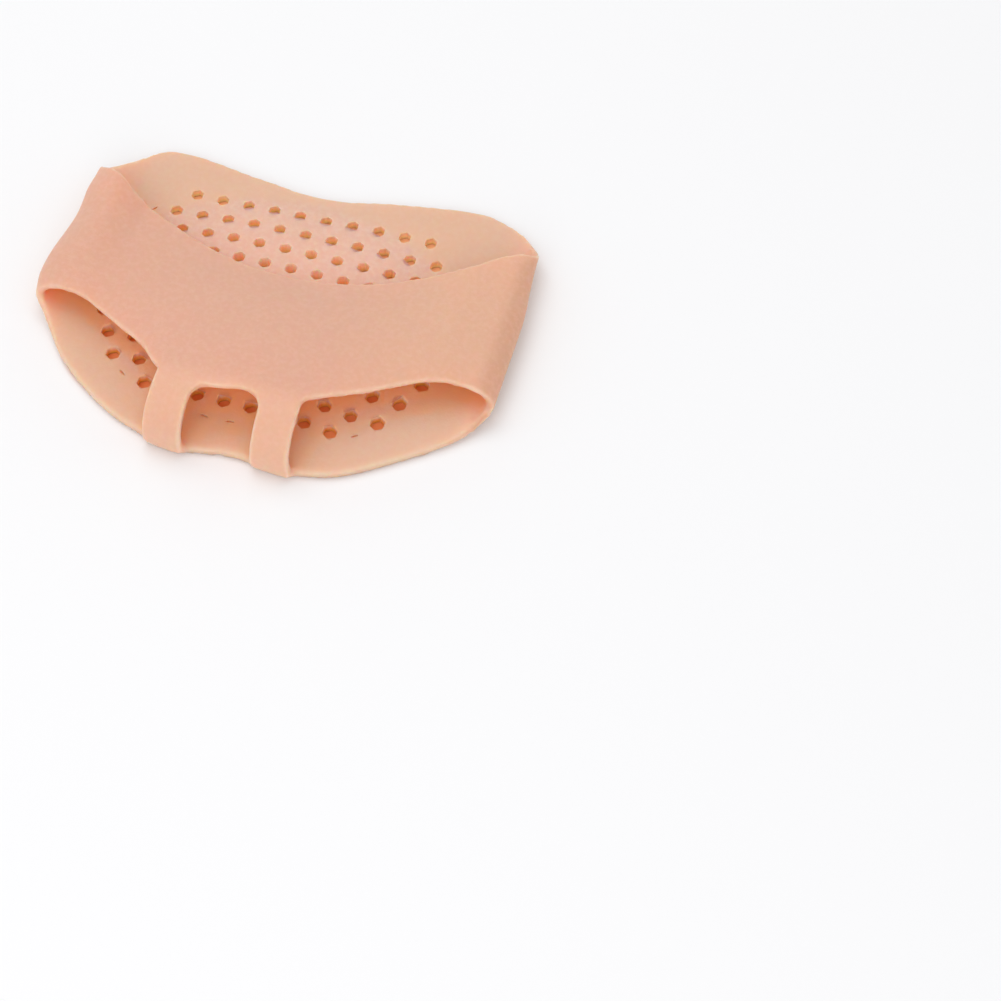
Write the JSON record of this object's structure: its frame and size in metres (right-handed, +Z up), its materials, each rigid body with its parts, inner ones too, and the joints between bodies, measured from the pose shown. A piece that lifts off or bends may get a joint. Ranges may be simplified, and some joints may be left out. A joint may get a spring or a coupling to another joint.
{
  "type": "silicone forefoot sleeve with toe loop",
  "caption": "Moulded silicone forefoot sleeve: pierced honeycomb sole pad, wide strap over the foot and toe bars that part the toes.",
  "frame": {"origin": "middle of the sleeve's outer box, on the surface that the sole lies on", "axes": "+X across the foot, +Y towards the heel, -Y towards the toes, +Z up from the sole to the strap"},
  "size_m": [0.096, 0.0713, 0.0128],
  "materials": {
    "silicone": "satin, slightly translucent skin-toned silicone"
  },
  "bodies": {
    "root": {"forefoot_sleeve": "silicone"}
  },
  "joints": []
}
